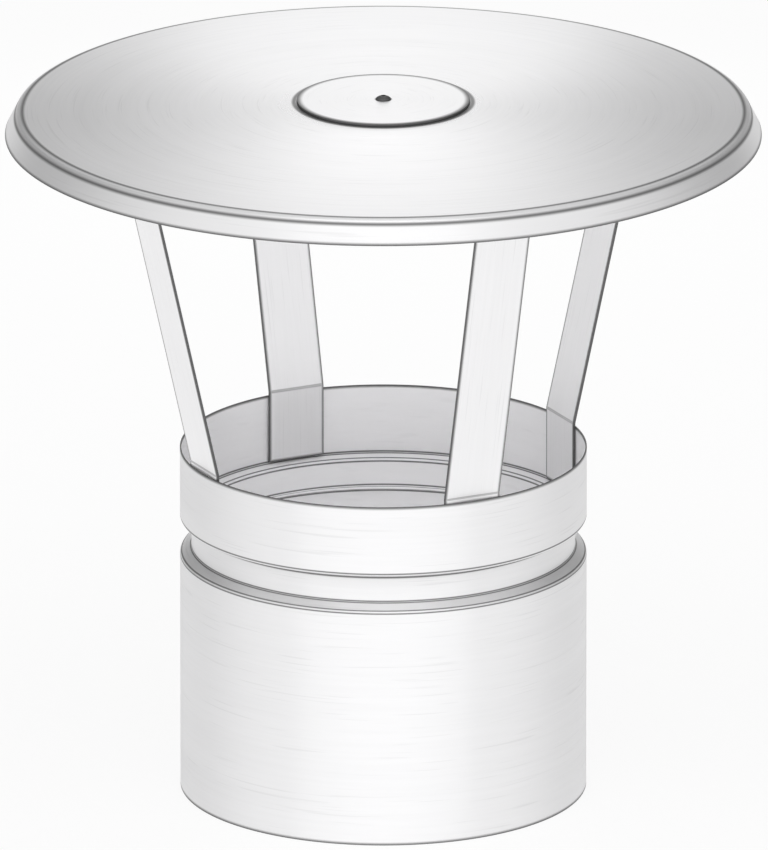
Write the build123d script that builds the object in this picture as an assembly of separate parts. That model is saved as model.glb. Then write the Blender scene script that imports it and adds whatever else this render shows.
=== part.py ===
from build123d import *

import os
from math import atan2, cos, hypot, sin, sqrt, tan

# Chimney rain cap of stainless sheet, in millimetres with +Z up: a round tube with a rolled
# groove, four bent straps welded inside its collar, and a wide spun hat with a riveted plate.
# The origin is on the axis at the tube's lower edge, and the straps stand on the X and Y axes.

# Tube, from its lower edge upwards
BORE_DIAMETER = 150.0
TUBE_SHEET = 0.5
SOCKET_LENGTH = 90.5
GROOVE_LOWER_SLOPE = 2.6
GROOVE_FLOOR = 10.3
GROOVE_UPPER_SLOPE = 1.3
GROOVE_DEPTH = 4.2
GROOVE_BEND_RADIUS = 0.9
COLLAR_HEIGHT = 26.6

# Hat: a flat seat in the middle, a shallow cone, a rounded shoulder and a flared skirt
HAT_DIAMETER = 280.0
HAT_SHEET = 0.8
OUTLET_HEIGHT = 120.9
SKIRT_HEIGHT = 8.6
SKIRT_FLARE = 4.4
SHOULDER_RADIUS = 2.9
CONE_RISE = 3.5
SEAT_BEND_RADIUS = 12.0

# Centre plate
PLATE_DIAMETER = 64.0
PLATE_THICKNESS = 1.0
PLATE_MARGIN = 1.0

# Blind rivet through the plate and the hat
RIVET_SHANK_DIAMETER = 3.2
RIVET_HOLE_CLEARANCE = 0.05
RIVET_HEAD_DIAMETER = 5.6
RIVET_HEAD_HEIGHT = 1.5
RIVET_HEAD_EDGE = 0.35
RIVET_TAIL_DIAMETER = 4.8
RIVET_TAIL_LENGTH = 2.6
MANDREL_DIAMETER = 1.8
MANDREL_CLEARANCE = 0.02
MANDREL_SINK = 0.5
MANDREL_HEAD_DIAMETER = 2.8
MANDREL_HEAD_LENGTH = 1.2

# Straps, all alike
STRAP_NAMES = ["strap_right", "strap_back", "strap_left", "strap_front"]
STRAP_WIDTH = 22.5
STRAP_THICKNESS = 1.0
STRAP_BEND_RADIUS = 2.0
STRAP_BEND_ABOVE_RIM = 1.5
TAB_LENGTH = 20.0
TAB_TO_SKIRT = 11.6
WELD_CLEARANCE = 0.03
LEG_CLEARANCE = 0.1

# Heights and radii that follow. Sheet runs are given on the middle of their thickness.
BORE_RADIUS = BORE_DIAMETER / 2
TUBE_RADIUS = BORE_RADIUS + TUBE_SHEET / 2
GROOVE_TOP = SOCKET_LENGTH + GROOVE_LOWER_SLOPE + GROOVE_FLOOR + GROOVE_UPPER_SLOPE
TUBE_TOP = GROOVE_TOP + COLLAR_HEIGHT

SKIRT_END_RADIUS = HAT_DIAMETER / 2 - HAT_SHEET / 2 * SKIRT_HEIGHT / hypot(SKIRT_HEIGHT, SKIRT_FLARE)
SKIRT_END_HEIGHT = TUBE_TOP + OUTLET_HEIGHT
HAT_CORNER_RADIUS = SKIRT_END_RADIUS - SKIRT_FLARE
HAT_CORNER_HEIGHT = SKIRT_END_HEIGHT + SKIRT_HEIGHT
SEAT_RADIUS = PLATE_DIAMETER / 2 + PLATE_MARGIN
SEAT_HEIGHT = HAT_CORNER_HEIGHT + CONE_RISE
CONE_SLOPE = CONE_RISE / (HAT_CORNER_RADIUS - SEAT_RADIUS)

SEAT_TOP = SEAT_HEIGHT + HAT_SHEET / 2
SEAT_UNDERSIDE = SEAT_HEIGHT - HAT_SHEET / 2
PLATE_TOP = SEAT_TOP + PLATE_THICKNESS
RIVET_HOLE_RADIUS = RIVET_SHANK_DIAMETER / 2 + RIVET_HOLE_CLEARANCE
RIVET_TAIL_END = SEAT_UNDERSIDE - RIVET_TAIL_LENGTH


def step_on(start, end):
    """The point as far past a run's end as the run is long."""
    return (2 * end[0] - start[0], 2 * end[1] - start[1])


def mitred(before, corner, after, distance):
    """A corner moved to the left of its line, so that both runs keep the same distance."""
    first = atan2(corner[1] - before[1], corner[0] - before[0])
    second = atan2(after[1] - corner[1], after[0] - corner[0])
    middle = (first + second) / 2
    reach = distance / cos((second - first) / 2)
    return (corner[0] - reach * sin(middle), corner[1] + reach * cos(middle))


def turns_left(before, corner, after):
    """Whether the line bends to its left at this corner."""
    run_in = (corner[0] - before[0], corner[1] - before[1])
    run_out = (after[0] - corner[0], after[1] - corner[1])
    return run_in[0] * run_out[1] > run_in[1] * run_out[0]


def sheet_face(points, bend_radii, distance):
    """The corners and bend radii of one face of a bent sheet, to the left of its middle line."""
    line = [step_on(points[1], points[0])] + points + [step_on(points[-2], points[-1])]
    corners = [mitred(*line[i : i + 3], distance) for i in range(len(points))]
    radii = []
    for i, radius in enumerate(bend_radii):
        inner = turns_left(*points[i : i + 3])
        radii.append(radius - distance if inner else radius + distance)
    return corners, radii


def sheet_section(points, bend_radii, thickness):
    """The section of a bent sheet, from the (radius, height) points of its middle line."""
    left, left_radii = sheet_face(points, bend_radii, thickness / 2)
    right, right_radii = sheet_face(points, bend_radii, -thickness / 2)
    with BuildSketch(Plane.XZ) as section:
        with BuildLine():
            FilletPolyline(*left, radius=left_radii)
            Line(left[-1], right[-1])
            FilletPolyline(*reversed(right), radius=right_radii[::-1])
            Line(right[0], left[0])
        make_face()
    return section.sketch


def cap_radius(half_width, rise):
    """The radius of the sphere whose cap has this half width and rise."""
    return (half_width**2 + rise**2) / (2 * rise)


def make_tube():
    """Socket below, rolled groove, collar above: one sheet with an even wall."""
    floor_radius = TUBE_RADIUS - GROOVE_DEPTH
    middle = [
        (TUBE_RADIUS, 0.0),
        (TUBE_RADIUS, SOCKET_LENGTH),
        (floor_radius, SOCKET_LENGTH + GROOVE_LOWER_SLOPE),
        (floor_radius, GROOVE_TOP - GROOVE_UPPER_SLOPE),
        (TUBE_RADIUS, GROOVE_TOP),
        (TUBE_RADIUS, TUBE_TOP),
    ]
    return revolve(sheet_section(middle, [GROOVE_BEND_RADIUS] * 4, TUBE_SHEET), Axis.Z)


def make_hat():
    """The spun hat, with the rivet's hole through its seat."""
    middle = [
        (RIVET_HOLE_RADIUS, SEAT_HEIGHT),
        (SEAT_RADIUS, SEAT_HEIGHT),
        (HAT_CORNER_RADIUS, HAT_CORNER_HEIGHT),
        (SKIRT_END_RADIUS, SKIRT_END_HEIGHT),
    ]
    return revolve(sheet_section(middle, [SEAT_BEND_RADIUS, SHOULDER_RADIUS], HAT_SHEET), Axis.Z)


def make_centre_plate():
    """A flat disc on the hat's seat, with the rivet's hole."""
    with BuildSketch(Plane.XY.offset(SEAT_TOP)) as disc:
        Circle(PLATE_DIAMETER / 2)
        Circle(RIVET_HOLE_RADIUS, mode=Mode.SUBTRACT)
    return extrude(disc.sketch, amount=PLATE_THICKNESS)


def make_rivet_body():
    """Domed head on the plate, shank through both sheets, and the tail spread below them."""
    bore = MANDREL_DIAMETER / 2 + MANDREL_CLEARANCE
    shank = RIVET_SHANK_DIAMETER / 2
    head = RIVET_HEAD_DIAMETER / 2
    dome = cap_radius(head, RIVET_HEAD_HEIGHT - RIVET_HEAD_EDGE)
    dome_centre = PLATE_TOP + RIVET_HEAD_HEIGHT - dome
    head_mouth = (bore, dome_centre + sqrt(dome**2 - bore**2))
    head_edge = (head, PLATE_TOP + RIVET_HEAD_EDGE)
    tail_bulge = (RIVET_TAIL_DIAMETER / 2, SEAT_UNDERSIDE - RIVET_TAIL_LENGTH / 2)
    with BuildSketch(Plane.XZ) as section:
        with BuildLine():
            RadiusArc(head_mouth, head_edge, dome)
            Polyline(head_edge, (head, PLATE_TOP), (shank, PLATE_TOP), (shank, SEAT_UNDERSIDE))
            ThreePointArc((shank, SEAT_UNDERSIDE), tail_bulge, (shank, RIVET_TAIL_END))
            Polyline((shank, RIVET_TAIL_END), (bore, RIVET_TAIL_END), head_mouth)
        make_face()
    return revolve(section.sketch, Axis.Z)


def make_rivet_mandrel():
    """The pin left in the rivet: a stem broken off inside the head, and a round nose under the tail."""
    stem = MANDREL_DIAMETER / 2
    nose = MANDREL_HEAD_DIAMETER / 2
    stem_top = PLATE_TOP + RIVET_HEAD_HEIGHT - MANDREL_SINK
    nose_end = RIVET_TAIL_END - MANDREL_HEAD_LENGTH
    with BuildSketch(Plane.XZ) as section:
        with BuildLine():
            Polyline((0, nose_end), (0, stem_top), (stem, stem_top), (stem, RIVET_TAIL_END),
                     (nose, RIVET_TAIL_END))
            RadiusArc((nose, RIVET_TAIL_END), (0, nose_end), cap_radius(nose, MANDREL_HEAD_LENGTH))
        make_face()
    return revolve(section.sketch, Axis.Z)


def make_strap():
    """The strap on +X: a leg inside the collar, a leaning run, and a tab under the hat.

    The leg is flat and the collar round, so the leg's two long edges meet the wall. The lean
    follows from where the leg ends above the rim and where the tab starts under the cone.
    """
    leg_radius = sqrt((BORE_RADIUS - WELD_CLEARANCE) ** 2 - (STRAP_WIDTH / 2) ** 2) - STRAP_THICKNESS / 2
    groove_turn = atan2(GROOVE_DEPTH, GROOVE_UPPER_SLOPE)
    leg_end = GROOVE_TOP + GROOVE_BEND_RADIUS * tan(groove_turn / 2) + LEG_CLEARANCE

    tab_end = HAT_CORNER_RADIUS - TAB_TO_SKIRT
    tab_start = tab_end - TAB_LENGTH
    below_cone = (STRAP_THICKNESS / 2 + WELD_CLEARANCE + HAT_SHEET / 2) * hypot(1, CONE_SLOPE)
    tab_heights = [SEAT_HEIGHT - (r - SEAT_RADIUS) * CONE_SLOPE - below_cone for r in (tab_start, tab_end)]

    middle = [
        (leg_radius, leg_end),
        (leg_radius, TUBE_TOP + STRAP_BEND_ABOVE_RIM),
        (tab_start, tab_heights[0]),
        (tab_end, tab_heights[1]),
    ]
    section = sheet_section(middle, [STRAP_BEND_RADIUS, STRAP_BEND_RADIUS], STRAP_THICKNESS)
    return extrude(section, amount=STRAP_WIDTH / 2, both=True)


pieces = {
    "flue_tube": make_tube(),
    "rain_hat": make_hat(),
    "centre_plate": make_centre_plate(),
    "rivet_body": make_rivet_body(),
    "rivet_mandrel": make_rivet_mandrel(),
}

strap = make_strap()
for i, name in enumerate(STRAP_NAMES):
    pieces[name] = Rot(0, 0, 360 / len(STRAP_NAMES) * i) * strap

os.makedirs("parts", exist_ok=True)
for name, piece in pieces.items():
    export_step(piece, f"parts/{name}.step")
    print(name, round(piece.volume, 1), "mm3", piece.bounding_box().size)
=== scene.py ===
# %% [markdown]
# # A chimney rain cap in satin stainless steel
#
# A rain cap is a few pieces of thin stainless sheet: a tube that takes the flue, four straps, and
# a wide hat. Thin metal is hard to make look real, because nearly all of what the eye reads is in
# its reflections, its cut edges and the marks of the tools that shaped it. In this lesson each piece
# is drawn as a section, turned or swept into a solid, and given the grain of the way it was made.

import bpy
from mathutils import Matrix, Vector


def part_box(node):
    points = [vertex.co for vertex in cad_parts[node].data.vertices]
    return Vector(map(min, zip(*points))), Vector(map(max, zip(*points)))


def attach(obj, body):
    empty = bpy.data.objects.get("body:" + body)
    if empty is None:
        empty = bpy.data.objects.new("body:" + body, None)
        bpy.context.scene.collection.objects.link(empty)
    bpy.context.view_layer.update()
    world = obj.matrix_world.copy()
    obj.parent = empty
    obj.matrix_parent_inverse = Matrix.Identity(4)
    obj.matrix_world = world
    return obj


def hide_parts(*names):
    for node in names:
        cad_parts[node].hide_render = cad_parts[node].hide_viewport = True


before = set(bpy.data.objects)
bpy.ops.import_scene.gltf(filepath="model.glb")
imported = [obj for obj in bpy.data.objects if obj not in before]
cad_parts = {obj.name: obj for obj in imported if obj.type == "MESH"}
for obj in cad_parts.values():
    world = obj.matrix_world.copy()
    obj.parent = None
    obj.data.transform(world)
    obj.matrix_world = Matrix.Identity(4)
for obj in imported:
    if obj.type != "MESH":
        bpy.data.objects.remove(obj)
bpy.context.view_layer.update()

MM = 0.001
print("nodes:", ", ".join(sorted(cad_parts)))

# %% [markdown]
# ## Sizes
#
# The frame is in metres, with +Z up and the origin on the flue's axis. A piece's overall size could
# be typed in again, but then it might drift away from the frame, so each one is read from the
# node's box. Only what a box can't tell, such as a bend or a groove, is a named value here.

# %% Read the overall sizes
from math import atan2, ceil, cos, degrees, hypot, pi, radians, sin, sqrt, tan
from typing import NamedTuple

import bmesh
import bpy
from mathutils import Vector

tube_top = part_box("flue_tube")[1].z
tube_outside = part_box("flue_tube")[1].x
hat_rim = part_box("rain_hat")[1].x
hat_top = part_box("rain_hat")[1].z
plate_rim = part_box("centre_plate")[1].x
plate_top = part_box("centre_plate")[1].z
strap_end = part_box("strap_right")[1].x
strap_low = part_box("strap_right")[0].z
half_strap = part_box("strap_right")[1].y
print("hat", round(hat_rim / MM, 2), "mm, tube", round(tube_outside / MM, 2), "mm in radius")

# %% [markdown]
# ## Drawing a section
#
# Sheet metal is never sharp. A bend has a radius, and even a cut edge is eased by a tenth of a
# millimetre. A section is therefore a list of corners, each with its own bend radius, and an arc
# takes the place of each corner. A Bevel modifier could round the finished mesh too, but a drawn arc
# can remember whether it is on a cut edge or on the inner face, and where it meets the flat sheet.
# The finishes need that later.

# %% Round one corner
ARC_CHORD = 0.2 * MM
FEWEST_ARC_STEPS = 4


class Corner(NamedTuple):
    """A corner that is still to be rounded."""
    across: float
    up: float
    bend: float = 0.0
    cut: bool = False
    inner: bool = False


class Spot(NamedTuple):
    """A point of the finished line. meets_bend is true where a flat run and a bend meet."""
    across: float
    up: float
    cut: bool
    inner: bool
    meets_bend: bool


def arc_at(before, corner, after):
    """The points of the arc that rounds one corner."""
    if corner.bend == 0:
        return [Spot(corner.across, corner.up, corner.cut, corner.inner, False)]
    first = atan2(corner.up - before.up, corner.across - before.across)
    second = atan2(after.up - corner.up, after.across - corner.across)
    turn = (second - first + pi) % (2 * pi) - pi
    side = 1 if turn > 0 else -1
    setback = corner.bend * tan(abs(turn) / 2)
    middle_across = corner.across - setback * cos(first) - side * corner.bend * sin(first)
    middle_up = corner.up - setback * sin(first) + side * corner.bend * cos(first)
    steps = max(FEWEST_ARC_STEPS, ceil(corner.bend * abs(turn) / ARC_CHORD))
    arc = []
    for step in range(steps + 1):
        heading = first + turn * step / steps
        across = middle_across + side * corner.bend * sin(heading)
        up = middle_up - side * corner.bend * cos(heading)
        meets_bend = step in (0, steps) and not corner.cut
        arc.append(Spot(across, up, corner.cut, corner.inner, meets_bend))
    return arc


print("an arc has a point every", ARC_CHORD / MM, "mm or closer")

# %% [markdown]
# A flat run gets a support point close to each arc, or the smooth shading of a bend would leak along
# it and make it look inflated. Even a short run also has a point in its middle, where the distance
# to the nearest bend is greatest, because the renderer draws a straight line from point to point.

# %% Fill the flat runs and join the line
SUPPORT_GAP = 0.3 * MM
SHORTEST_FILLED_RUN = 3 * SUPPORT_GAP
RUN_PITCH = 5.0 * MM
FEWEST_RUN_STEPS = 2


def run_between(start, end):
    """Points along a flat run: one support near each end, and an even pitch between them."""
    length = hypot(end.across - start.across, end.up - start.up)
    if length < SHORTEST_FILLED_RUN:
        return []
    inner_length = length - 2 * SUPPORT_GAP
    steps = max(FEWEST_RUN_STEPS, ceil(inner_length / RUN_PITCH))
    run = []
    for step in range(steps + 1):
        share = (SUPPORT_GAP + inner_length * step / steps) / length
        across = start.across + (end.across - start.across) * share
        up = start.up + (end.up - start.up) * share
        run.append(Spot(across, up, start.cut and end.cut, start.inner and end.inner, False))
    return run


def smooth_line(corners, closed=True):
    """The whole line: an arc at each corner, and the points of each run."""
    count = len(corners)
    arcs = [arc_at(corners[i - 1], corners[i], corners[(i + 1) % count]) for i in range(count)]
    line = []
    for i, arc in enumerate(arcs):
        line += arc
        if closed or i < count - 1:
            line += run_between(arc[-1], arcs[(i + 1) % count][0])
    return line + [line[0]] if closed else line


print("a flat run has a point every", RUN_PITCH / MM, "mm or closer")

# %% [markdown]
# The distances to the nearest cut and to the nearest bend are measured along the sheet and not
# through it, because a bend's mark on one face mustn't show on the other.

# %% Measure along a line
NOWHERE_NEAR = 1.0


def places_along(line):
    """How far along the line each of its points is."""
    places = [0.0]
    for start, end in zip(line, line[1:]):
        places.append(places[-1] + hypot(end.across - start.across, end.up - start.up))
    return places


def distances_to(line, wanted, closed):
    """For each point, the distance along the line to the nearest point that is wanted."""
    places = places_along(line)
    targets = [place for place, spot in zip(places, line) if wanted(spot)]
    distances = []
    for place in places:
        gaps = [abs(place - target) for target in targets]
        if closed:
            gaps += [places[-1] - gap for gap in gaps]
        distances.append(min(gaps, default=NOWHERE_NEAR))
    return distances


print("with no cut or bend, the distance is", NOWHERE_NEAR, "m")

# %% [markdown]
# A sheet is drawn by its middle line, as a fitter would mark it out, and the two faces follow half a
# thickness away on each side. At a bend, one face has the smaller radius and the other the larger.

# %% Middle line to a closed sheet section
CUT_EASE = 0.12 * MM


def mitred(before, corner, after, distance):
    """A corner moved to the left of its line, so that both runs keep the same distance."""
    first = atan2(corner[1] - before[1], corner[0] - before[0])
    second = atan2(after[1] - corner[1], after[0] - corner[0])
    middle = (first + second) / 2
    reach = distance / cos((second - first) / 2)
    return corner[0] - reach * sin(middle), corner[1] + reach * cos(middle)


def sheet_face(points, bends, distance):
    """One face of the sheet, as corners. Both its ends are cut edges."""
    ahead_of_first = (2 * points[0][0] - points[1][0], 2 * points[0][1] - points[1][1])
    past_the_last = (2 * points[-1][0] - points[-2][0], 2 * points[-1][1] - points[-2][1])
    line = [ahead_of_first] + points + [past_the_last]
    face = []
    for i in range(len(points)):
        before, corner, after = line[i : i + 3]
        run_in = (corner[0] - before[0], corner[1] - before[1])
        run_out = (after[0] - corner[0], after[1] - corner[1])
        turn_side = 1 if run_in[0] * run_out[1] > run_in[1] * run_out[0] else -1
        is_end = i in (0, len(points) - 1)
        bend = CUT_EASE if is_end else bends[i - 1] - distance * turn_side
        across, up = mitred(before, corner, after, distance)
        face.append(Corner(across, up, bend, cut=is_end, inner=distance > 0))
    return face


def sheet_section(points, bends, thickness):
    """The closed section of a bent sheet. The face on the left of its line is the inner one."""
    left = sheet_face(points, bends, thickness / 2)
    right = sheet_face(points, bends, -thickness / 2)
    return left + right[::-1]


print("cut edges are eased by", CUT_EASE / MM, "mm")

# %% [markdown]
# ## Node trees
#
# Geometry and shader trees are built by the same few functions. They take a socket by its name or
# its number, and give it a constant or another node's output.

# %% Node helpers


def feed(tree, node, sockets):
    """Links or sets the sockets of a node."""
    for name, value in sockets.items():
        if isinstance(value, bpy.types.NodeSocket):
            tree.links.new(value, node.inputs[name])
        else:
            node.inputs[name].default_value = value
    return node


def put(tree, kind, sockets=None, **options):
    """Adds one node to the tree."""
    node = tree.nodes.new(kind)
    for name, value in options.items():
        setattr(node, name, value)
    return feed(tree, node, sockets or {})


def sums(tree, operation, first, second=0.0, third=0.0):
    """One arithmetic step, returned as a socket."""
    terms = {0: first, 1: second, 2: third}
    return put(tree, "ShaderNodeMath", terms, operation=operation).outputs[0]


def then(tree, geometry, kind, sockets=None, **options):
    """The geometry's next step: into a new node by its first socket, and out by its first."""
    return put(tree, kind, {0: geometry} | (sockets or {}), **options).outputs[0]


def apart(tree, vector):
    """A vector's X, Y and Z, as sockets."""
    return put(tree, "ShaderNodeSeparateXYZ", {0: vector}).outputs


def named(tree, attribute, kind="BOOLEAN"):
    """A stored attribute, returned as a socket."""
    node = put(tree, "GeometryNodeInputNamedAttribute", {"Name": attribute}, data_type=kind)
    return node.outputs["Attribute"]


def in_scene(name, data):
    """A new object, in the scene."""
    thing = bpy.data.objects.new(name, data)
    bpy.context.scene.collection.objects.link(thing)
    return thing


print("node helpers ready")

# %% [markdown]
# All geometry trees end alike: with smooth shading, with instances made real, because the export
# drops them, and with a material for each kind of face.

# %% Begin and end a geometry tree


def new_tree(name, inputs):
    """A geometry tree with one geometry in, one out, and the named inputs."""
    tree = bpy.data.node_groups.new(name, "GeometryNodeTree")
    for way in ("OUTPUT", "INPUT"):
        tree.interface.new_socket(name="Geometry", in_out=way, socket_type="NodeSocketGeometry")
    for label, kind in inputs.items():
        tree.interface.new_socket(name=label, in_out="INPUT", socket_type="NodeSocket" + kind)
    return tree, tree.nodes.new("NodeGroupInput").outputs


def turned_round(tree, geometry, turn):
    """The geometry, turned round the flue's axis."""
    rotation = put(tree, "ShaderNodeCombineXYZ", {"Z": turn}).outputs[0]
    return then(tree, geometry, "GeometryNodeTransform", {"Rotation": rotation})


def end_tree(tree, geometry, materials):
    """Ends the tree. Each material covers the faces chosen for it, over the ones before it."""
    geometry = then(tree, geometry, "GeometryNodeSetShadeSmooth")
    geometry = then(tree, geometry, "GeometryNodeRealizeInstances")
    for material, chosen in materials:
        geometry = then(tree, geometry, "GeometryNodeSetMaterial",
                        {"Selection": chosen, "Material": material})
    put(tree, "NodeGroupOutput", {"Geometry": geometry})


print("trees end in real instances and materials")

# %% [markdown]
# A tree runs as a modifier on a small carrier mesh, which is the drawn line. What its points know
# goes along as attributes.

# %% A carrier mesh
SPOT_FACTS = {"cut": "BOOLEAN", "inner": "BOOLEAN", "from_cut": "FLOAT", "from_bend": "FLOAT"}


def line_mesh(name, line, closed=True):
    """The line's points in the XZ plane, joined in order, with what each one knows."""
    mesh = bpy.data.meshes.new(name)
    edges = [(i, i + 1) for i in range(len(line) - 1)]
    mesh.from_pydata([(spot.across, 0, spot.up) for spot in line], edges, [])
    values = {
        "cut": [spot.cut for spot in line],
        "inner": [spot.inner for spot in line],
        "from_cut": distances_to(line, lambda spot: spot.cut, closed),
        "from_bend": distances_to(line, lambda spot: spot.meets_bend, closed),
    }
    for fact, kind in SPOT_FACTS.items():
        mesh.attributes.new(fact, kind, "POINT").data.foreach_set("value", values[fact])
    return mesh


print("each point of a carrier knows:", ", ".join(SPOT_FACTS))

# %% [markdown]
# The tree's result is taken as a plain mesh, which needs no modifier and is easy to check: closed,
# with its faces outwards. The piece then goes to the frame in place of its CAD node.

# %% Run a tree and keep its result


def turned_out(mesh):
    """Turns a closed mesh's faces outwards, and returns (open edges, volume in mm3)."""
    work = bmesh.new()
    work.from_mesh(mesh)
    if work.calc_volume(signed=True) < 0:
        bmesh.ops.reverse_faces(work, faces=work.faces)
        work.to_mesh(mesh)
    open_edges = sum(1 for edge in work.edges if len(edge.link_faces) != 2)
    volume = work.calc_volume(signed=True)
    work.free()
    return open_edges, volume / MM**3


def drop_unused_slots(mesh):
    """Keeps only the material slots that some face uses."""
    slots = [0] * len(mesh.polygons)
    mesh.polygons.foreach_get("material_index", slots)
    used = sorted(set(slots))
    materials = [mesh.materials[slot] for slot in used]
    mesh.materials.clear()
    for material in materials:
        mesh.materials.append(material)
    mesh.polygons.foreach_set("material_index", [used.index(slot) for slot in slots])


def grow(name, carrier_mesh, tree, values):
    """Runs the tree on the carrier and returns the plain mesh object that it makes."""
    carrier = in_scene("carrier", carrier_mesh)
    modifier = carrier.modifiers.new("grow", "NODES")
    modifier.node_group = tree
    for item in tree.interface.items_tree:
        if item.in_out == "INPUT" and item.name in values:
            modifier[item.identifier] = values[item.name]
    made = carrier.evaluated_get(bpy.context.evaluated_depsgraph_get())
    mesh = bpy.data.meshes.new_from_object(made)
    bpy.data.objects.remove(carrier)
    mesh.name = name
    open_edges, volume = turned_out(mesh)
    drop_unused_slots(mesh)
    piece = in_scene(name, mesh)
    print(name, len(mesh.polygons), "faces,", open_edges, "open edges,", round(volume, 1), "mm3")
    return piece


def fit(piece, node):
    """Hands a finished piece to the frame in place of its CAD node."""
    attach(piece, "root")
    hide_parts(node)


print("every piece rides on the body named root")

# %% [markdown]
# ## Materials
#
# Stainless steel has one colour but many faces. What tells a spun hat from a rolled tube is its
# grain: the spinning tool leaves rings, rolling leaves faint lines round the tube, and strip is
# brushed along its length. A picture of brushed metal would show its seams and its repeats. Here the
# grain is a noise whose coordinates are stretched along the lines, so it fits every shape.

# %% Patterns


def spread(tree, value, low, high, start=0.0, end=1.0, smooth=False):
    """A value that runs from start to end, made to run from low to high, and held beyond that."""
    return put(tree, "ShaderNodeMapRange", {
        "Value": value, "From Min": start, "From Max": end, "To Min": low, "To Max": high},
        interpolation_type="SMOOTHSTEP" if smooth else "LINEAR").outputs[0]


def noise(tree, vector, scale, detail=3.0, roughness=0.55):
    """A noise pattern with its middle at about one half."""
    return put(tree, "ShaderNodeTexNoise", {
        "Vector": vector, "Scale": scale, "Detail": detail, "Roughness": roughness}).outputs[0]


def blend(tree, patterns, shares):
    """The sum of the patterns, each times its share."""
    total = 0.0
    for name, share in shares.items():
        total = sums(tree, "MULTIPLY_ADD", patterns[name], share, total)
    return total


def strongest(tree, marks):
    """The strongest of several marks."""
    result = marks[0]
    for mark in marks[1:]:
        result = sums(tree, "MAXIMUM", result, mark)
    return result


print("patterns ready")

# %% [markdown]
# The grain of a turned piece runs round the axis. Its lines are spaced along the radius on a disc
# and along the height on a tube, and change slowly on their way round. A strip's grain runs along
# it, so it reads the strip's own map of width and length, which follows the bends.

# %% The grain of turned pieces and strip
STRIP_MAP = "surface"


def round_axis(tree):
    """A point's Object coordinates, its distance from the axis, its height and its direction."""
    point = put(tree, "ShaderNodeTexCoord").outputs["Object"]
    parts = apart(tree, point)
    flat = put(tree, "ShaderNodeCombineXYZ", {"X": parts["X"], "Y": parts["Y"]}).outputs[0]
    away = put(tree, "ShaderNodeVectorMath", {0: flat}, operation="LENGTH").outputs["Value"]
    unit = put(tree, "ShaderNodeVectorMath", {0: flat}, operation="NORMALIZE").outputs["Vector"]
    return {"point": point, "away": away, "height": parts["Z"], "facing": apart(tree, unit)}


def ringed(along, per_metre, wander):
    """Lines round the axis, spaced along "away" or "height". It gives (point, stretched point)."""

    def grain(tree):
        place = round_axis(tree)
        stretched = put(tree, "ShaderNodeCombineXYZ", {
            "X": sums(tree, "MULTIPLY", place[along], per_metre),
            "Y": sums(tree, "MULTIPLY", place["facing"]["X"], wander),
            "Z": sums(tree, "MULTIPLY", place["facing"]["Y"], wander)}).outputs[0]
        return place["point"], stretched

    return grain


def lengthwise(across, along):
    """Lines along a strip, so many per metre across and along. It gives (point, stretched point)."""

    def grain(tree):
        point = put(tree, "ShaderNodeTexCoord").outputs["Object"]
        mapped = put(tree, "ShaderNodeUVMap", uv_map=STRIP_MAP).outputs[0]
        stretched = put(tree, "ShaderNodeVectorMath", {
            0: mapped, 1: (across, along, 1)}, operation="MULTIPLY")
        return point, stretched.outputs["Vector"]

    return grain


print("grain patterns ready")

# %% [markdown]
# Most marks come from handling and tools. A sheared or laser-cut edge has a dull line beside it, and
# each bend keeps a dark line where the tool pressed. The dark line at joints and in creases is dirt
# and painted shade. On a turned piece, cuts and bends are read from the distances that the section
# stored, a joint is a radius where another piece's edge sits, and a crease is a height. A strip's
# marks come from its map.

# %% The marks, as a pattern
CUT_LINE = 1.3 * MM
BEND_LINE = 0.5 * MM
SHEET_MARK = 0.85
# Strength of the dark line at joints and creases, which is dirt and painted shade.
DIRT_AND_SHADE_MARK = 0.9
STRIP_CUT_MARK = 0.9
STRIP_BEND_MARK = 0.45


def near(tree, distance, reach, strength):
    """Full strength at distance 0, and nothing from reach on."""
    return spread(tree, distance, strength, 0.0, end=reach, smooth=True)


def gap_to(tree, value, mark):
    """How far a value is from a mark, on either side of it."""
    return sums(tree, "ABSOLUTE", sums(tree, "SUBTRACT", value, mark))


def marks_of_sheet(cut=SHEET_MARK, cut_reach=CUT_LINE, bend_reach=BEND_LINE, joints=(), creases=()):
    """Marks of a turned sheet. Joints are (radius, reach) and creases are (height, reach)."""

    def marks(tree):
        place = round_axis(tree)
        from_cut = put(tree, "ShaderNodeAttribute", attribute_name="from_cut").outputs["Fac"]
        from_bend = put(tree, "ShaderNodeAttribute", attribute_name="from_bend").outputs["Fac"]
        found = [near(tree, from_cut, cut_reach, cut), near(tree, from_bend, bend_reach, SHEET_MARK)]
        # Joints and creases get the dark line of dirt and painted shade.
        for source, lines in (("away", joints), ("height", creases)):
            for middle, reach in lines:
                found.append(near(tree, gap_to(tree, place[source], middle), reach, DIRT_AND_SHADE_MARK))
        return strongest(tree, found)

    return marks


def marks_of_strip(half_width, length, bends):
    """Marks of a strip: its four edges, and the lines where its bends begin and end."""

    def marks(tree):
        parts = apart(tree, put(tree, "ShaderNodeUVMap", uv_map=STRIP_MAP).outputs[0])
        from_side = sums(tree, "SUBTRACT", half_width, sums(tree, "ABSOLUTE", parts["X"]))
        from_end = sums(tree, "MINIMUM", parts["Y"], sums(tree, "SUBTRACT", length, parts["Y"]))
        from_cut = sums(tree, "MINIMUM", from_side, from_end)
        found = [near(tree, from_cut, CUT_LINE, STRIP_CUT_MARK)]
        for place in bends:
            found.append(near(tree, gap_to(tree, parts["Y"], place), BEND_LINE, STRIP_BEND_MARK))
        return strongest(tree, found)

    return marks


print("a cut has a dull line of", CUT_LINE / MM, "mm beside it")

# %% [markdown]
# Now the steel itself. Three noises make its grain: a fine one, a broad one for the slow changes
# between lines, and a haze that ignores the lines. Together they shift the tone a little and change
# how rough the metal is, and the fine one also lifts the surface by microns. Anisotropy stretches
# the highlight across the grain. What is the same all over is set on the shader's own sockets.

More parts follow.
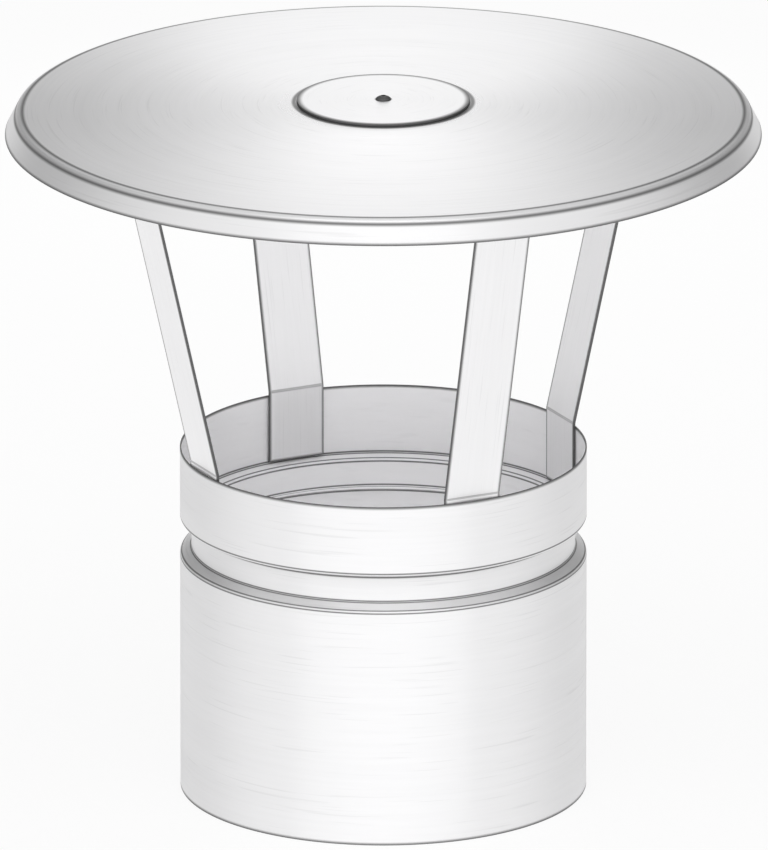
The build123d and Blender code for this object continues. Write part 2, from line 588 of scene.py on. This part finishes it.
# %% One metal, many finishes
ROUND_THE_AXIS = dict(direction_type="RADIAL", axis="Z")
ALONG_THE_STRIP = dict(direction_type="UV_MAP", uv_map=STRIP_MAP)
QUARTER_TURN = 0.25
FINE_SCALE = 1.0
BROAD_SCALE = 0.16
HAZE_SCALE = 16.0
TONE_SHARES = {"broad": 0.25, "fine": 0.5, "haze": 0.25}
SWING_SHARES = {"haze": 0.4, "broad": 0.6}
ROUGH_SWING = 0.12
LIFT = 0.005 * MM
SCRATCH_SCALE = 1.7
SCRATCH_FROM = 0.62
SCRATCH_TO = 0.74
SCRATCH_MARK = 0.07
MARK_DARKNESS = 0.88
MARK_ROUGHNESS = 0.15
GREEN_TINT = 0.997
BLUE_TINT = 1.004


def steel(name, grain, light, dark, rough, anisotropy=0.0, turn=0.0, tangent=ROUND_THE_AXIS,
          marks=None, lift=LIFT, scratch=SCRATCH_MARK, rim=None):
    """A finish between two tones, with the given grain and marks. Towards a rim it can get rougher,
    and darker as painted shade.
    """
    material = bpy.data.materials.new(name)
    material.use_nodes = True
    tree = material.node_tree
    point, stretched = grain(tree)
    patterns = {
        "fine": noise(tree, stretched, FINE_SCALE, detail=4.0, roughness=0.65),
        "broad": noise(tree, stretched, BROAD_SCALE, detail=2.0),
        "haze": noise(tree, point, HAZE_SCALE),
    }
    lines = noise(tree, stretched, SCRATCH_SCALE, detail=1.0)
    scratches = spread(tree, lines, 0.0, scratch, SCRATCH_FROM, SCRATCH_TO, smooth=True)
    # The marks darken the tone. At joints and creases that darkening is dirt and painted shade.
    mark = sums(tree, "MAXIMUM", marks(tree) if marks else 0.0, scratches)
    kept = sums(tree, "SUBTRACT", 1.0, sums(tree, "MULTIPLY", mark, MARK_DARKNESS))
    tone = spread(tree, blend(tree, patterns, TONE_SHARES), dark, light)
    value = sums(tree, "MULTIPLY", tone, kept)
    swing = blend(tree, patterns, SWING_SHARES)
    roughness = spread(tree, swing, rough - ROUGH_SWING / 2, rough + ROUGH_SWING / 2)
    # Towards the rim the metal gets rougher, and its tone darker, which is painted shade.
    if rim:
        away = round_axis(tree)["away"]
        outwards = spread(tree, away, 0.0, 1.0, rim["starts"], rim["ends"])
        value = sums(tree, "MULTIPLY", value, spread(tree, outwards, 1.0, 1.0 - rim["darker"]))
        roughness = sums(tree, "MULTIPLY_ADD", outwards, rim["rougher"], roughness)
    green = sums(tree, "MULTIPLY", value, GREEN_TINT)
    blue = sums(tree, "MULTIPLY", value, BLUE_TINT)
    colour = put(tree, "ShaderNodeCombineColor", {"Red": value, "Green": green, "Blue": blue})
    bump = put(tree, "ShaderNodeBump", {"Height": patterns["fine"], "Strength": 1.0, "Distance": lift})
    feed(tree, tree.nodes["Principled BSDF"], {
        "Base Color": colour.outputs[0],
        "Roughness": sums(tree, "MULTIPLY_ADD", mark, MARK_ROUGHNESS, roughness),
        "Normal": bump.outputs[0],
        "Tangent": put(tree, "ShaderNodeTangent", **tangent).outputs[0],
        "Metallic": 1.0, "Anisotropic": anisotropy, "Anisotropic Rotation": turn})
    print("finish:", name)
    return material


# %% [markdown]
# The first finish is that of every cut edge. Shears and lasers leave steel darker and rougher than
# the skin of the sheet, and that thin dark line is what draws the outline of a sheet-metal piece.

# %% The finish of a cut edge
sheared = steel("sheared_edge", ringed("height", per_metre=900.0, wander=300.0),
                light=0.20, dark=0.08, rough=0.45)

# %% [markdown]
# ## The lathe
#
# The tube, the hat, the plate and the rivet are all round. Blender has a Screw modifier for such
# shapes, but a tree can also carry what the section's points know, so that the inner face and the
# cut edges get their own finish. It makes a grid with one column for each point of the section and
# one row for each step round the axis. Every grid point looks up its section point and turns it
# round Z. The last row lands on the first, and the two are merged.

# %% The lathe tree
STEPS_ROUND = 384
MERGE_DISTANCE = 1e-6


def lathe_tree():
    """Section in, turned solid out."""
    tree, given = new_tree("lathe", {
        "Steps Round": "Int", "Outside": "Material", "Inside": "Material", "Cut Edge": "Material"})
    section = given["Geometry"]
    size = put(tree, "GeometryNodeAttributeDomainSize", {"Geometry": section}, component="MESH")
    columns = size.outputs["Point Count"]
    rows = sums(tree, "ADD", given["Steps Round"], 1.0)
    grid = put(tree, "GeometryNodeMeshGrid", {"Vertices X": columns, "Vertices Y": rows})
    index = put(tree, "GeometryNodeInputIndex").outputs[0]
    # The half keeps a rounding error from moving a point to the next column.
    column = sums(tree, "FLOOR", sums(tree, "DIVIDE", sums(tree, "ADD", index, 0.5), rows))
    row = sums(tree, "FLOORED_MODULO", index, rows)
    angle = sums(tree, "DIVIDE", sums(tree, "MULTIPLY", row, 2 * pi), given["Steps Round"])

    def looked_up(source, kind):
        """What the section's point for this column has."""
        return put(tree, "GeometryNodeSampleIndex", {
            "Geometry": section, "Index": column, "Value": source}, data_type=kind).outputs["Value"]

    solid = grid.outputs["Mesh"]
    for fact, kind in SPOT_FACTS.items():
        known = looked_up(named(tree, fact, kind), kind)
        solid = then(tree, solid, "GeometryNodeStoreNamedAttribute", {"Name": fact, "Value": known},
                     data_type=kind, domain="POINT")
    place = looked_up(put(tree, "GeometryNodeInputPosition").outputs[0], "FLOAT_VECTOR")
    turned = put(tree, "ShaderNodeVectorRotate", {"Vector": place, "Angle": angle},
                 rotation_type="Z_AXIS").outputs[0]
    solid = then(tree, solid, "GeometryNodeSetPosition", {"Position": turned})
    solid = then(tree, solid, "GeometryNodeMergeByDistance", {"Distance": MERGE_DISTANCE})
    end_tree(tree, solid, [
        (given["Outside"], True),
        (given["Inside"], named(tree, "inner")),
        (given["Cut Edge"], named(tree, "cut"))])
    return tree


lathe = lathe_tree()


def turn_on_lathe(node, corners, outside, inside, edge, closed=True, steps=STEPS_ROUND):
    """Turns a round piece from its section and fits it in its node's place."""
    carrier = line_mesh(node + "_line", smooth_line(corners, closed), closed)
    values = {"Steps Round": steps, "Outside": outside, "Inside": inside, "Cut Edge": edge}
    fit(grow(node + "_finish", carrier, lathe, values), node)


print("lathe tree has", len(lathe.nodes), "nodes")

# %% [markdown]
# ## The tube
#
# The tube is one sheet, rolled and seam-welded, then put on a machine that presses a groove into it.
# The groove stiffens the mouth and makes the ridge inside that stops the flue pipe. Its section is
# a straight socket, two slopes with a flat floor between them, and a straight collar. The outside
# is polished while the tube turns. The inside keeps the dull skin that the sheet came with.

# %% Turn the tube
TUBE_SHEET = 0.5 * MM
SOCKET_LENGTH = 90.5 * MM
GROOVE_LOWER_SLOPE = 2.6 * MM
GROOVE_UPPER_SLOPE = 1.3 * MM
GROOVE_DEPTH = 4.2 * MM
GROOVE_BEND = 0.9 * MM
COLLAR_HEIGHT = 26.6 * MM
# Width of the dark line of dirt and painted shade in the groove's upper crease, under the collar.
CREASE_LINE = 1.4 * MM

tube_middle = tube_outside - TUBE_SHEET / 2
groove_floor = tube_middle - GROOVE_DEPTH
groove_top = tube_top - COLLAR_HEIGHT
upper_crease = groove_top - GROOVE_UPPER_SLOPE
tube_line = [
    (tube_middle, 0.0),
    (tube_middle, SOCKET_LENGTH),
    (groove_floor, SOCKET_LENGTH + GROOVE_LOWER_SLOPE),
    (groove_floor, upper_crease),
    (tube_middle, groove_top),
    (tube_middle, tube_top),
]
tube_bends = [GROOVE_BEND] * 4

# The rolled finish gets a dark line in the groove's upper crease, under the collar: dirt and painted
# shade.
rolled = steel("rolled_sheet", ringed("height", per_metre=700.0, wander=1.2),
               light=1.0, dark=0.88, rough=0.44, anisotropy=0.9, turn=QUARTER_TURN,
               marks=marks_of_sheet(creases=[(upper_crease, CREASE_LINE)]))
mill = steel("mill_skin", ringed("height", per_metre=260.0, wander=3.0),
             light=1.0, dark=0.92, rough=0.80, anisotropy=0.3, turn=QUARTER_TURN,
             marks=marks_of_sheet(), scratch=0.02)
tube_section = sheet_section(tube_line, tube_bends, TUBE_SHEET)
turn_on_lathe("flue_tube", tube_section, rolled, mill, sheared)

# %% [markdown]
# The seam of the tube is a low bead, a little over 2 mm wide, that runs from edge to edge and down
# through the groove. A weld goes on in small steps, and each one leaves a ripple. A circle swept
# along the outer face is such a bead, once it is flattened and its radius swells a little with every
# ripple. The seam faces away from the camera.

# %% Lay the weld seam
BEAD_HALF_WIDTH = 1.1 * MM
BEAD_HALF_HEIGHT = 0.22 * MM
BEAD_SIDES = 16
BEAD_STEP = 0.4 * MM
BEAD_FROM_EDGE = 0.5 * MM
BEAD_SHARP_ANGLE = radians(60)
RIPPLE_PITCH = 1.6 * MM
RIPPLE_SWELL = 0.10
SEAM_TURN = radians(90)


def bead_tree():
    """Line in, rippled bead out."""
    tree, given = new_tree("bead", {"Turn": "Float", "Metal": "Material"})
    path = then(tree, given["Geometry"], "GeometryNodeMeshToCurve")
    path = then(tree, path, "GeometryNodeResampleCurve", {"Length": BEAD_STEP}, mode="LENGTH")
    along = put(tree, "GeometryNodeSplineParameter").outputs["Length"]
    wave = sums(tree, "SINE", sums(tree, "MULTIPLY", along, 2 * pi / RIPPLE_PITCH))
    swell = sums(tree, "MULTIPLY_ADD", wave, RIPPLE_SWELL, 1.0)
    path = then(tree, path, "GeometryNodeSetCurveRadius", {"Radius": swell})
    circle = put(tree, "GeometryNodeCurvePrimitiveCircle", {
        "Resolution": BEAD_SIDES, "Radius": BEAD_HALF_WIDTH}).outputs["Curve"]
    flatness = (BEAD_HALF_HEIGHT / BEAD_HALF_WIDTH, 1, 1)
    flat = then(tree, circle, "GeometryNodeTransform", {"Scale": flatness})
    bead = then(tree, path, "GeometryNodeCurveToMesh", {"Profile Curve": flat, "Fill Caps": True})
    end_tree(tree, turned_round(tree, bead, given["Turn"]), [(given["Metal"], True)])
    return tree


outer_corners = sheet_face(tube_line, tube_bends, -TUBE_SHEET / 2)
outer_corners[0] = Corner(tube_outside, BEAD_FROM_EDGE)
outer_corners[-1] = Corner(tube_outside, tube_top - BEAD_FROM_EDGE)
seam_line = line_mesh("tube_seam_line", smooth_line(outer_corners, closed=False), closed=False)
welded = steel("weld_bead", ringed("height", per_metre=1800.0, wander=400.0),
               light=0.74, dark=0.52, rough=0.36)
seam = grow("tube_seam", seam_line, bead_tree(), {"Turn": SEAM_TURN, "Metal": welded})
seam.data.set_sharp_from_angle(angle=BEAD_SHARP_ANGLE)
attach(seam, "root")

# %% [markdown]
# ## The hat
#
# A disc is spun over a former, and the tool lays the metal down from the middle outwards. That gives
# the flat seat where the disc was clamped, the shallow cone, the round shoulder and the skirt. Its
# finish gets rougher towards the rim, where the metal passes the tool fastest, and a little darker
# there, which is painted shade. A thin dark ring in the joint round the plate is dirt and painted
# shade.

# %% Turn the hat
HAT_SHEET = 0.8 * MM
SKIRT_HEIGHT = 8.6 * MM
SKIRT_FLARE = 4.4 * MM
SHOULDER_BEND = 2.9 * MM
CONE_RISE = 3.5 * MM
SEAT_MARGIN = 1.0 * MM
SEAT_BEND = 12.0 * MM
RIVET_HOLE = 1.65 * MM
# Width of the dark ring of dirt and painted shade at a joint.
JOINT_LINE = 0.7 * MM
SHOULDER_LINE = 1.3 * MM

skirt_end = hat_rim - HAT_SHEET / 2 * SKIRT_HEIGHT / hypot(SKIRT_HEIGHT, SKIRT_FLARE)
hat_corner = skirt_end - SKIRT_FLARE
seat_height = hat_top - HAT_SHEET / 2
seat_radius = plate_rim + SEAT_MARGIN
hat_line = [
    (skirt_end, seat_height - CONE_RISE - SKIRT_HEIGHT),
    (hat_corner, seat_height - CONE_RISE),
    (seat_radius, seat_height),
    (RIVET_HOLE, seat_height),
]
hat_bends = [SHOULDER_BEND, SEAT_BEND]

spun = steel("spun_sheet", ringed("away", per_metre=800.0, wander=1.6),
             light=0.97, dark=0.82, rough=0.28, anisotropy=0.6, turn=QUARTER_TURN,
             # The joint round the plate gets a dark ring of dirt and painted shade.
             marks=marks_of_sheet(bend_reach=SHOULDER_LINE, joints=[(plate_rim, JOINT_LINE)]),
             # The darker share at the rim is painted shade.
             lift=0.006 * MM, rim=dict(starts=plate_rim, ends=hat_rim, darker=0.06, rougher=0.12))
hat_section = sheet_section(hat_line, hat_bends, HAT_SHEET)
turn_on_lathe("rain_hat", hat_section, spun, mill, sheared)

# %% [markdown]
# ## The plate and the rivet
#
# A small blanked disc covers the middle of the hat. A cylinder with a Bevel modifier would give its
# shape, but on the lathe it also gets its dark cut edge and its rings. The dull line beside the edge
# is wider here, because a blanked edge is rubbed down all round. A dark ring round the rivet's head
# is dirt and painted shade.

# %% Turn the plate
PLATE_EASE = 0.15 * MM
PLATE_RIM_LINE = 2.4 * MM
PLATE_CUT_MARK = 0.9
head_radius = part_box("rivet_body")[1].x

plate_corners = [
    Corner(plate_rim, hat_top, PLATE_EASE, cut=True),
    Corner(plate_rim, plate_top, PLATE_EASE, cut=True),
    Corner(RIVET_HOLE, plate_top, PLATE_EASE),
    Corner(RIVET_HOLE, hat_top, PLATE_EASE),
]
# The joint round the rivet's head gets a dark ring of dirt and painted shade.
plate_marks = marks_of_sheet(cut=PLATE_CUT_MARK, cut_reach=PLATE_RIM_LINE,
                             joints=[(head_radius, JOINT_LINE)])
polished = steel("polished_disc", ringed("away", per_metre=1200.0, wander=1.0),
                 light=0.94, dark=0.84, rough=0.32, anisotropy=0.2, turn=QUARTER_TURN,
                 marks=plate_marks)
turn_on_lathe("centre_plate", plate_corners, polished, polished, sheared)

# %% [markdown]
# One blind rivet holds the plate and the hat. Such a rivet is two pieces: a body with a domed head,
# and a pin that is pulled until it snaps. The pull swells the body's tail under the hat. A squashed
# sphere could stand for the head, but the drawn section gives the mouth and the swollen tail too.
# Its plain dark steel makes the dot in the middle of the hat.

# %% Turn the rivet's body
RIVET_SHANK = 1.6 * MM
RIVET_BORE = 0.92 * MM
HEAD_HEIGHT = 1.5 * MM
HEAD_EDGE = 0.35 * MM
HEAD_EASE = 0.08 * MM
DOME_STEPS = 8
TAIL_LENGTH = 2.6 * MM
TAIL_RADIUS = 2.4 * MM
TAIL_BEND = 0.4 * MM
TAIL_EASE = 0.1 * MM
SWELLING_STARTS = 0.25
SWELLING_ENDS = 0.75
FEW_STEPS_ROUND = 64

hat_underside = hat_top - HAT_SHEET
tail_end = hat_underside - TAIL_LENGTH
dome_rise = HEAD_HEIGHT - HEAD_EDGE
dome_radius = (head_radius**2 + dome_rise**2) / (2 * dome_rise)
dome_width = head_radius - RIVET_BORE


def dome_height(away):
    """The height of the rivet head's round top at a distance from the axis."""
    return plate_top + HEAD_HEIGHT - dome_radius + sqrt(dome_radius**2 - away**2)


dome_places = [RIVET_BORE + dome_width * step / DOME_STEPS for step in range(DOME_STEPS + 1)]
rivet_corners = [Corner(away, dome_height(away)) for away in dome_places]
rivet_corners += [
    Corner(head_radius, plate_top, HEAD_EASE),
    Corner(RIVET_SHANK, plate_top),
    Corner(RIVET_SHANK, hat_underside),
    Corner(TAIL_RADIUS, hat_underside - TAIL_LENGTH * SWELLING_STARTS, TAIL_BEND),
    Corner(TAIL_RADIUS, hat_underside - TAIL_LENGTH * SWELLING_ENDS, TAIL_BEND),
    Corner(RIVET_SHANK, tail_end, TAIL_EASE),
    Corner(RIVET_BORE, tail_end),
]
riveted = steel("dark_rivet", ringed("away", per_metre=1500.0, wander=3.0),
                light=0.15, dark=0.08, rough=0.42, anisotropy=0.2, turn=QUARTER_TURN)
turn_on_lathe("rivet_body", rivet_corners, riveted, riveted, riveted,
              steps=FEW_STEPS_ROUND)

# %% [markdown]
# The stub of the pin stays in the head's mouth, with a small hollow where the steel tore, and its
# nose below the tail. Its section is an open line from the axis to the axis, which the lathe closes.

# %% Turn the rivet's broken pin
STEM_RADIUS = 0.9 * MM
STEM_SINK = 0.5 * MM
STEM_EASE = 0.12 * MM
TEAR_DEPTH = 0.15 * MM
NOSE_TIP_SHARE = 0.8
NOSE_TIP_RISE = 0.15 * MM
NOSE_BEND = 0.5 * MM
NOSE_EASE = 0.1 * MM

mandrel_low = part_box("rivet_mandrel")[0].z
mandrel_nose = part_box("rivet_mandrel")[1].x
stem_top = plate_top + HEAD_HEIGHT - STEM_SINK
mandrel_corners = [
    Corner(0, mandrel_low),
    Corner(mandrel_nose * NOSE_TIP_SHARE, mandrel_low + NOSE_TIP_RISE, NOSE_BEND),
    Corner(mandrel_nose, tail_end, NOSE_EASE),
    Corner(STEM_RADIUS, tail_end),
    Corner(STEM_RADIUS, stem_top, STEM_EASE),
    Corner(0, stem_top - TEAR_DEPTH),
]
broken = steel("broken_stem", ringed("away", per_metre=1500.0, wander=60.0),
               light=0.06, dark=0.03, rough=0.55)
turn_on_lathe("rivet_mandrel", mandrel_corners, broken, broken, broken,
              closed=False, steps=FEW_STEPS_ROUND)

# %% [markdown]
# ## The straps
#
# Each strap is sheared from strip and bent twice on a press. A strip swept along its own middle line
# is exactly that, so the tree turns the line into a curve, sweeps the strip's section along it, and
# turns the result to its place round the flue. The sweep also stores the place across and along the
# strip as a map, because the brushing has to follow the bends. A cap at the end of the sweep has
# more corners than the four of every other face, which is how the tree knows it for a cut end.

# %% The strap tree
FACE_CORNERS = 4


def strap_tree():
    """Middle line in, bent strip out."""
    tree, given = new_tree("strap", {
        "Section": "Object", "Turn": "Float", "Strip": "Material", "Cut Edge": "Material"})

    def remembered(curve, name, value):
        """The curve, and a value that each of its points remembers."""
        node = put(tree, "GeometryNodeCaptureAttribute", {"Geometry": curve}, domain="POINT")
        node.capture_items.new("FLOAT", name)
        feed(tree, node, {name: value})
        return node.outputs["Geometry"], node.outputs[name]

    length = put(tree, "GeometryNodeSplineParameter").outputs["Length"]
    path = then(tree, given["Geometry"], "GeometryNodeMeshToCurve")
    path, along = remembered(path, "Along", length)
    width = apart(tree, put(tree, "GeometryNodeInputPosition").outputs[0])["Y"]
    section = put(tree, "GeometryNodeObjectInfo", {"Object": given["Section"]}).outputs["Geometry"]
    section = then(tree, section, "GeometryNodeMeshToCurve")
    section, across = remembered(section, "Across", width)
    strip = then(tree, path, "GeometryNodeCurveToMesh", {"Profile Curve": section, "Fill Caps": True})
    mapped = put(tree, "ShaderNodeCombineXYZ", {"X": across, "Y": along}).outputs[0]
    strip = then(tree, strip, "GeometryNodeStoreNamedAttribute", {"Name": STRIP_MAP, "Value": mapped},
                 data_type="FLOAT2", domain="CORNER")
    corners = put(tree, "GeometryNodeInputMeshFaceNeighbors").outputs["Vertex Count"]
    ends = put(tree, "FunctionNodeCompare", {"A": corners, "B": FACE_CORNERS},
               data_type="INT", operation="GREATER_THAN")
    either = put(tree, "FunctionNodeBooleanMath", {0: named(tree, "cut"), 1: ends.outputs[0]},
                 operation="OR").outputs[0]
    strip = turned_round(tree, strip, given["Turn"])
    end_tree(tree, strip, [(given["Strip"], True), (given["Cut Edge"], either)])
    return tree


strap_maker = strap_tree()
print("strap tree has", len(strap_maker.nodes), "nodes")

# %% [markdown]
# The line of a strap follows from its neighbours. Its leg stands against the bore of the tube, where
# the flat strip touches the round wall along its two edges. It bends just above the rim and leans
# out to a tab, which lies under the hat's cone. Both joints are spot welds, with a hair of a gap.

# %% Work out the strap's line
STRAP_SHEET = 1.0 * MM
STRAP_BEND = 2.0 * MM
BEND_ABOVE_RIM = 1.5 * MM
TAB_LENGTH = 20.0 * MM
WELD_GAP = 0.03 * MM

bore = tube_outside - TUBE_SHEET
leg_radius = sqrt((bore - WELD_GAP) ** 2 - half_strap**2) - STRAP_SHEET / 2
cone_slope = CONE_RISE / (hat_corner - seat_radius)
slope_length = hypot(1, cone_slope)
below_cone = (STRAP_SHEET / 2 + WELD_GAP + HAT_SHEET / 2) * slope_length
tab_end = strap_end - STRAP_SHEET / 2 * cone_slope / slope_length
tab_start = tab_end - TAB_LENGTH


def tab_height(away):
    """The height of the tab's middle line under the cone."""
    return seat_height - (away - seat_radius) * cone_slope - below_cone


strap_corners = [
    Corner(leg_radius, strap_low),
    Corner(leg_radius, tube_top + BEND_ABOVE_RIM, STRAP_BEND),
    Corner(tab_start, tab_height(tab_start), STRAP_BEND),
    Corner(tab_end, tab_height(tab_end)),
]
strap_path = smooth_line(strap_corners, closed=False)
strap_places = places_along(strap_path)
bend_places = [place for place, spot in zip(strap_places, strap_path) if spot.meets_bend]
lean = atan2(tab_start - leg_radius, tab_height(tab_start) - tube_top)
print("a strap leans", round(degrees(lean), 2), "degrees")
print("a strap is", round(strap_places[-1] / MM, 1), "mm long")

# %% [markdown]
# The strip's section, seen end on, is 1 mm thick along X, which the sweep lays in the plane of the
# bends, and 22.5 mm wide along Y.

# %% Draw the strip's section
STRAP_EASE = 0.18 * MM
EASE_AND_A_BIT = 1.01

section_corners = [
    Corner(x * STRAP_SHEET / 2, y * half_strap, STRAP_EASE, cut=True)
    for x, y in ((1, -1), (1, 1), (-1, 1), (-1, -1))
]


def strip_section():
    """The strip's section as a closed line in the XY plane. Only its two narrow sides are cut."""
    line = smooth_line(section_corners)[:-1]
    mesh = bpy.data.meshes.new("strip_section")
    count = len(line)
    edges = [(i, (i + 1) % count) for i in range(count)]
    mesh.from_pydata([(spot.across, spot.up, 0) for spot in line], edges, [])
    side_starts = half_strap - STRAP_EASE * EASE_AND_A_BIT
    is_side = [abs(spot.up) > side_starts for spot in line]
    mesh.attributes.new("cut", "BOOLEAN", "POINT").data.foreach_set("value", is_side)
    return in_scene("strip_section", mesh)


section_holder = strip_section()
print("the strip's section has", len(section_holder.data.vertices), "points")

# %% [markdown]
# The four straps could be instances of one, but each replaces its own CAD node, so each gets its own
# mesh, a quarter turn from the last.

# %% Bend the four straps
STRAP_SHARP_ANGLE = radians(40)
strap_names = ["strap_right", "strap_back", "strap_left", "strap_front"]

brushed = steel("brushed_strip", lengthwise(across=900.0, along=14.0),
                light=0.97, dark=0.85, rough=0.60, anisotropy=0.35, tangent=ALONG_THE_STRIP,
                marks=marks_of_strip(half_strap, strap_places[-1], bend_places))
for i, name in enumerate(strap_names):
    carrier = line_mesh(name + "_line", strap_path, closed=False)
    turn = i * 2 * pi / len(strap_names)
    values = {"Section": section_holder, "Turn": turn, "Strip": brushed, "Cut Edge": sheared}
    strap = grow(name + "_finish", carrier, strap_maker, values)
    strap.data.set_sharp_from_angle(angle=STRAP_SHARP_ANGLE)
    fit(strap, name)
bpy.data.objects.remove(section_holder)

# %% [markdown]
# ## The stage
#
# Metal shows whatever stands round it, so the stage is part of its finish. The floor is painted
# nearly white, and most of what the camera and the reflections see of it is a plain white glow. That
# keeps the ground white and the shadow soft. More light would do that too, but bleach the steel.

# %% The floor
FLOOR_HALF = 20.0
FLOOR_WHITE = 0.94
FLOOR_ROUGHNESS = 0.9
FLOOR_SPECULAR = 0.1
FLOOR_GLOW = 0.85


def seen_directly(tree):
    """1 for what the camera, a mirror or a clear piece sees, 0 for the light that lands on things."""
    rays = put(tree, "ShaderNodeLightPath").outputs
    seen = sums(tree, "MAXIMUM", rays["Is Camera Ray"], rays["Is Glossy Ray"])
    return sums(tree, "MAXIMUM", seen, rays["Is Transmission Ray"])


floor_corners = [(x * FLOOR_HALF, y * FLOOR_HALF, 0) for x, y in ((-1, -1), (1, -1), (1, 1), (-1, 1))]
floor_mesh = bpy.data.meshes.new("floor")
floor_mesh.from_pydata(floor_corners, [], [(0, 1, 2, 3)])
floor = in_scene("floor", floor_mesh)
floor_paint = bpy.data.materials.new("floor_paint")
floor_paint.use_nodes = True
floor_tree = floor_paint.node_tree
paint = feed(floor_tree, floor_tree.nodes["Principled BSDF"], {
    "Base Color": (FLOOR_WHITE, FLOOR_WHITE, FLOOR_WHITE, 1),
    "Roughness": FLOOR_ROUGHNESS, "Specular IOR Level": FLOOR_SPECULAR})
glow = put(floor_tree, "ShaderNodeEmission", {"Color": (1, 1, 1, 1), "Strength": 1.0})
share = sums(floor_tree, "MULTIPLY", seen_directly(floor_tree), FLOOR_GLOW)
mixed = put(floor_tree, "ShaderNodeMixShader", {0: share, 1: paint.outputs[0], 2: glow.outputs[0]})
feed(floor_tree, floor_tree.nodes["Material Output"], {"Surface": mixed.outputs[0]})
floor_mesh.materials.append(floor_paint)
print("floor", 2 * FLOOR_HALF, "m wide")

# %% [markdown]
# The camera looks down by 17.6 degrees, which is what the ellipses of the round pieces give, and
# past the front strap at an angle of 26.27 degrees to the straps' axes. The reference is drawn
# without perspective, so the lens is very long and the camera far away.

# %% The camera
ELEVATION = radians(17.6)
AZIMUTH = radians(-26.27)
LENS_MM = 1300.0
SENSOR_MM = 36.0
SIGHT_LIMIT = 30.0
FRAME_HEIGHT = 315.3 * MM
AIM_HEIGHT = 139.3 * MM
AIM_ASIDE = 0.24 * MM

front = Vector((sin(AZIMUTH), -cos(AZIMUTH), 0))
right = Vector((cos(AZIMUTH), sin(AZIMUTH), 0))
camera_data = bpy.data.cameras.new("camera")
camera_data.lens = LENS_MM
camera_data.sensor_width = SENSOR_MM
camera_data.clip_end = SIGHT_LIMIT
camera = in_scene("camera", camera_data)
distance = LENS_MM / SENSOR_MM * FRAME_HEIGHT
aim = Vector((0, 0, AIM_HEIGHT)) + right * AIM_ASIDE
offset = (front * cos(ELEVATION) + Vector((0, 0, sin(ELEVATION)))) * distance
camera.location = aim + offset
camera.rotation_euler = (-offset).to_track_quat("-Z", "Y").to_euler()
bpy.context.scene.camera = camera
print("camera", round(distance, 2), "m away")

# %% [markdown]
# Four soft lamps and a pale sky give the light. One lamp stands over the camera. A tall
# narrow one stands close behind the object: the hat mirrors it, and because it is close, only the
# middle of the hat points at it, so that the hat fades to grey at both sides. A wide one above it
# fills the fan that the hat's rings make of the reflection. The fourth stands low in front. It
# lights the tube and the mouth, and the hat's top can't mirror it, since it stays below the hat. It
# has no part in plain diffuse light, or its edge would show on the floor.

# %% The lamps


def lamp(name, azimuth, elevation, far, wide, high, radiance):
    """A soft lamp that looks at the object, placed round the camera's own azimuth."""
    data = bpy.data.lights.new(name, "AREA")
    data.shape = "RECTANGLE"
    data.size = wide
    data.size_y = high
    data.energy = radiance * pi * wide * high
    turn, lift = radians(azimuth), radians(elevation)
    towards = (front * cos(turn) + right * sin(turn)) * cos(lift) + Vector((0, 0, sin(lift)))
    holder = in_scene(name, data)
    holder.location = aim + towards * far
    holder.rotation_euler = (-towards).to_track_quat("-Z", "Y").to_euler()
    holder.visible_camera = False
    print("lamp:", name, round(data.energy, 2), "W")
    return holder


lamp("over_camera", azimuth=0, elevation=62, far=2.4, wide=1.8, high=1.2, radiance=1.0)
lamp("strip_behind", azimuth=180, elevation=28, far=0.8, wide=0.2, high=1.0, radiance=0.67)
lamp("high_behind", azimuth=180, elevation=52, far=1.8, wide=1.8, high=1.5, radiance=0.42)
low_front = lamp("low_front", azimuth=0, elevation=0, far=0.8, wide=1.7, high=0.2, radiance=0.85)
low_front.visible_diffuse = False

# %% [markdown]
# The sky is pale over the camera and grey behind, so that the sides of every round piece stand out
# from the ground. It is paler along the horizon, which reaches under the hat and into the tube. An
# even sky would be simpler, but steel that mirrors it looks like white paint.

# %% The sky
SKY_FRONT = 0.93
SKY_BACK = 0.28
SKY_TOP = 0.06
BACK_ENDS = -0.75
FRONT_STARTS = 0.45
HORIZON_GAIN = 1.6
HORIZON_TOP = 0.3

world = bpy.data.worlds.new("sky")
world.use_nodes = True
sky_tree = world.node_tree
ray = put(sky_tree, "ShaderNodeTexCoord").outputs["Generated"]
forwards = put(sky_tree, "ShaderNodeVectorMath", {0: ray, 1: front}, operation="DOT_PRODUCT")
sideways = spread(sky_tree, forwards.outputs["Value"], SKY_BACK, SKY_FRONT, BACK_ENDS, FRONT_STARTS,
                  smooth=True)
ray_height = apart(sky_tree, ray)["Z"]
upwards = spread(sky_tree, ray_height, 0.0, SKY_TOP)
horizon = spread(sky_tree, ray_height, HORIZON_GAIN, 1.0, end=HORIZON_TOP, smooth=True)
strength = sums(sky_tree, "MULTIPLY_ADD", sideways, horizon, upwards)
feed(sky_tree, sky_tree.nodes["Background"], {"Color": (1, 1, 1, 1), "Strength": strength})
bpy.context.scene.world = world
bpy.context.scene.view_settings.view_transform = "Standard"
print("sky from", SKY_BACK, "behind to", SKY_FRONT, "in front")
